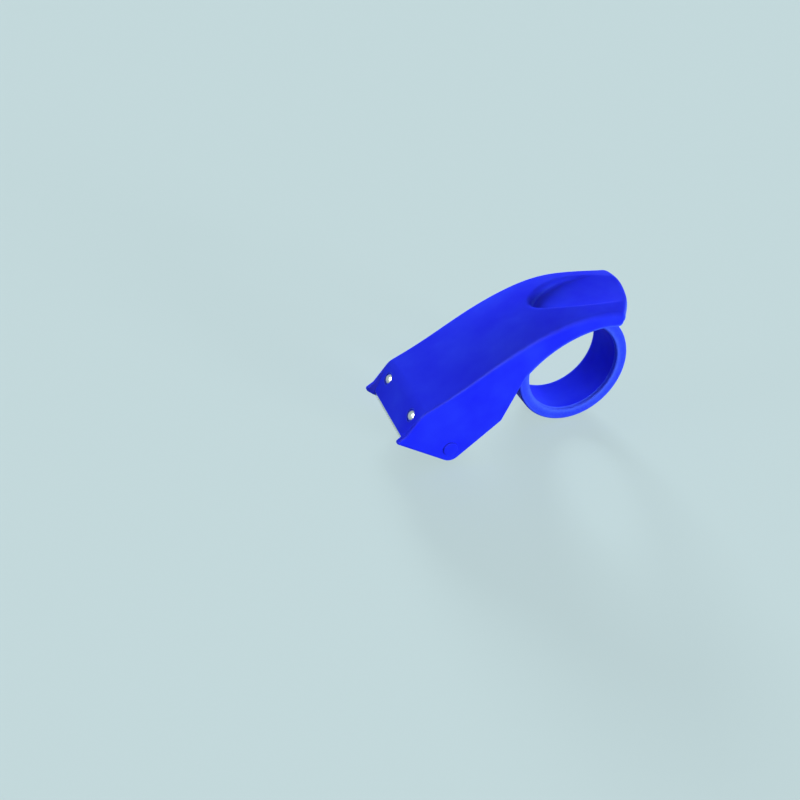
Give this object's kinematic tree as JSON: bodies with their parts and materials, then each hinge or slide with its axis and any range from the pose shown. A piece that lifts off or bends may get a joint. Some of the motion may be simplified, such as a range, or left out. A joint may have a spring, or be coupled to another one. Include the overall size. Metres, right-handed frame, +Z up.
{
  "type": "packing tape dispenser",
  "caption": "Hand-held dispenser for wide packing tape: open-sided body with a palm groove, a ring hub for the roll, a rubber pressing roller, a guide roller and a toothed cutting blade.",
  "frame": {"origin": "on the axis of the tape hub, halfway across the body", "axes": "+X from the blade towards the rear of the body, +Y from the open side to the side that carries the hub, +Z up with the hub and the front roller standing on a table"},
  "size_m": [0.1624, 0.0618, 0.0924],
  "materials": {
    "blue_moulding": "semi-gloss moulded blue",
    "stainless_strip": "bright stamped stainless steel",
    "rivet_steel": "bright nickel plate",
    "zinc_steel": "zinc plate",
    "axle_steel": "drawn steel",
    "sleeve_rubber": "ground black rubber",
    "white_plastic": "natural plastic",
    "black_plastic": "plain black plastic"
  },
  "bodies": {
    "root": {"main_shell": "blue_moulding", "hub_side_panel": "blue_moulding", "side_panel_screws": "zinc_steel", "blade": "stainless_strip", "blade_rivet_near": "rivet_steel", "blade_rivet_far": "rivet_steel", "rivet_washer_near": "zinc_steel", "rivet_washer_far": "zinc_steel", "front_axle": "axle_steel", "front_axle_cap_near": "blue_moulding", "front_axle_cap_far": "blue_moulding", "guide_axle": "axle_steel"},
    "front_roller": {"front_roller_sleeve": "sleeve_rubber", "front_roller_core": "white_plastic", "front_roller_bush_near": "black_plastic", "front_roller_bush_far": "black_plastic"},
    "guide_roller_assembly": {"guide_roller": "white_plastic", "guide_roller_bush_near": "black_plastic", "guide_roller_bush_far": "black_plastic"}
  },
  "joints": [
    {"name": "front_roller_spin", "type": "hinge", "parent": "root", "child": "front_roller", "pos_m": [-0.0908, 0, -0.027], "axis": [0, 1, 0], "continuous": true},
    {"name": "guide_roller_spin", "type": "hinge", "parent": "root", "child": "guide_roller_assembly", "pos_m": [-0.0745, 0, -0.0165], "axis": [0, 1, 0], "continuous": true}
  ]
}
